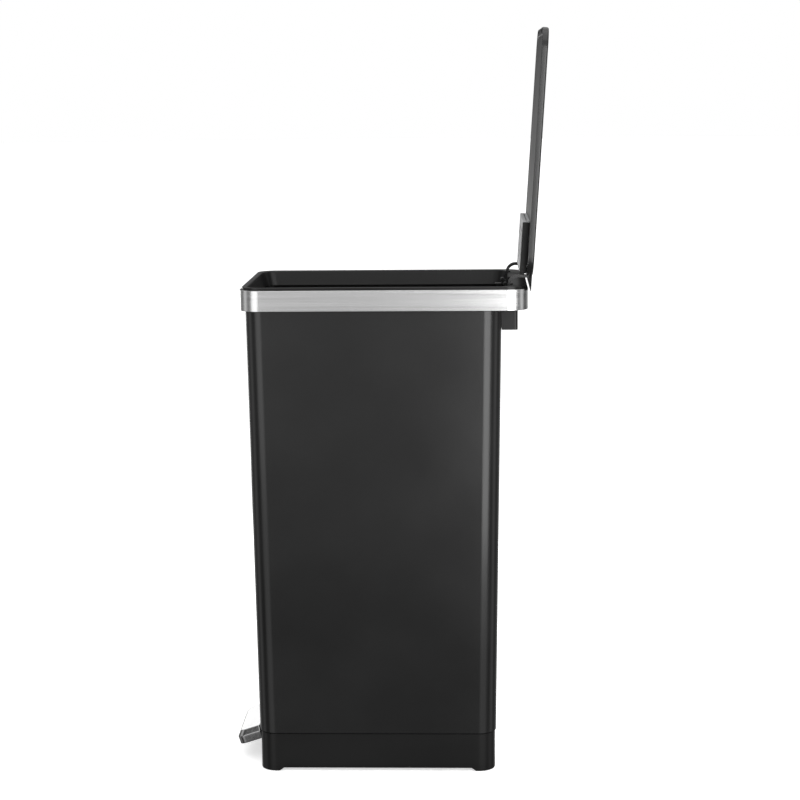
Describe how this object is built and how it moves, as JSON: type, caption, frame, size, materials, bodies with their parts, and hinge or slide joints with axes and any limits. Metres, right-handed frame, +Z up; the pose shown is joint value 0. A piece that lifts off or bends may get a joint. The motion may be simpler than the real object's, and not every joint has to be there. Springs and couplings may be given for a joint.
{
  "type": "pedal trash can",
  "caption": "Slim step bin with a hinged lid worked by a front pedal, steel rim band, plastic base and an inner bucket.",
  "frame": {"origin": "on the floor under the middle of the whole object's box, with the lid open and the pedal pressed", "axes": "+Z up, -Y towards the pedal, +Y towards the lid hinge, +X to the right seen from the front"},
  "size_m": [0.264, 0.4278, 0.9947],
  "materials": {
    "painted_steel": "satin black coating",
    "black_plastic": "fine matt texture",
    "rim_steel": "brushed along its length",
    "tread_steel": "fine brushed",
    "zinc_steel": "bright zinc plating",
    "light_grey_plastic": "fine matt texture",
    "bucket_plastic": "moulded, light sheen",
    "rubber": "matt",
    "carbon_felt": "loose carbon felt"
  },
  "bodies": {
    "root": {"body_shell": "painted_steel", "base_ring": "black_plastic", "base_pan": "black_plastic", "base_screws": "zinc_steel", "rubber_feet": "rubber", "rim_frame": "black_plastic", "rim_band": "rim_steel", "rear_housing": "black_plastic", "housing_screws": "zinc_steel", "hinge_blocks": "black_plastic", "hinge_block_screws": "zinc_steel", "hinge_pin": "zinc_steel", "damper_cylinder": "zinc_steel", "rod_channel": "black_plastic", "rod_guides": "light_grey_plastic", "pedal_bracket": "zinc_steel", "bracket_screws": "zinc_steel", "pedal_axle": "zinc_steel", "axle_clips": "zinc_steel", "inner_bucket": "bucket_plastic"},
    "lid": {"lid_shell": "painted_steel", "lid_liner": "black_plastic", "lid_flap": "black_plastic", "hinge_tube": "painted_steel", "hinge_arm_left": "painted_steel", "hinge_arm_right": "painted_steel", "arm_screws": "painted_steel", "lift_crank": "painted_steel", "damper_crank": "painted_steel", "filter_housing": "black_plastic", "filter_door": "light_grey_plastic", "carbon_filter": "carbon_felt", "lid_bumpers": "rubber"},
    "pedal": {"pedal_lever": "zinc_steel", "pedal_tread": "tread_steel", "tread_rivets": "zinc_steel"},
    "lift_rod": {"push_rod": "zinc_steel", "rod_head": "black_plastic"},
    "damper_rod": {"damper_plunger": "zinc_steel"}
  },
  "joints": [
    {"name": "lid_hinge", "type": "hinge", "parent": "root", "child": "lid", "pos_m": [0, 0.16702, 0.6455], "axis": [1, 0, 0], "range_deg": [0, 93.7]},
    {"name": "pedal_pivot", "type": "hinge", "parent": "root", "child": "pedal", "pos_m": [0, -0.03718, 0.042], "axis": [1, 0, 0], "range_deg": [-8.75, 0]},
    {"name": "lift_rod_slide", "type": "slide", "parent": "root", "child": "lift_rod", "axis": [0, 0, 1], "range_m": [-0.0264, 0]},
    {"name": "damper_slide", "type": "slide", "parent": "root", "child": "damper_rod", "axis": [0, 0, 1], "range_m": [-0.0191, 0]}
  ],
  "couplings": [
    {"joint": "pedal_pivot", "follows": "lid_hinge", "ratio": -0.09285},
    {"joint": "lift_rod_slide", "follows": "lid_hinge", "m_per_rad": -0.016082},
    {"joint": "damper_slide", "follows": "lid_hinge", "m_per_rad": -0.011599}
  ]
}
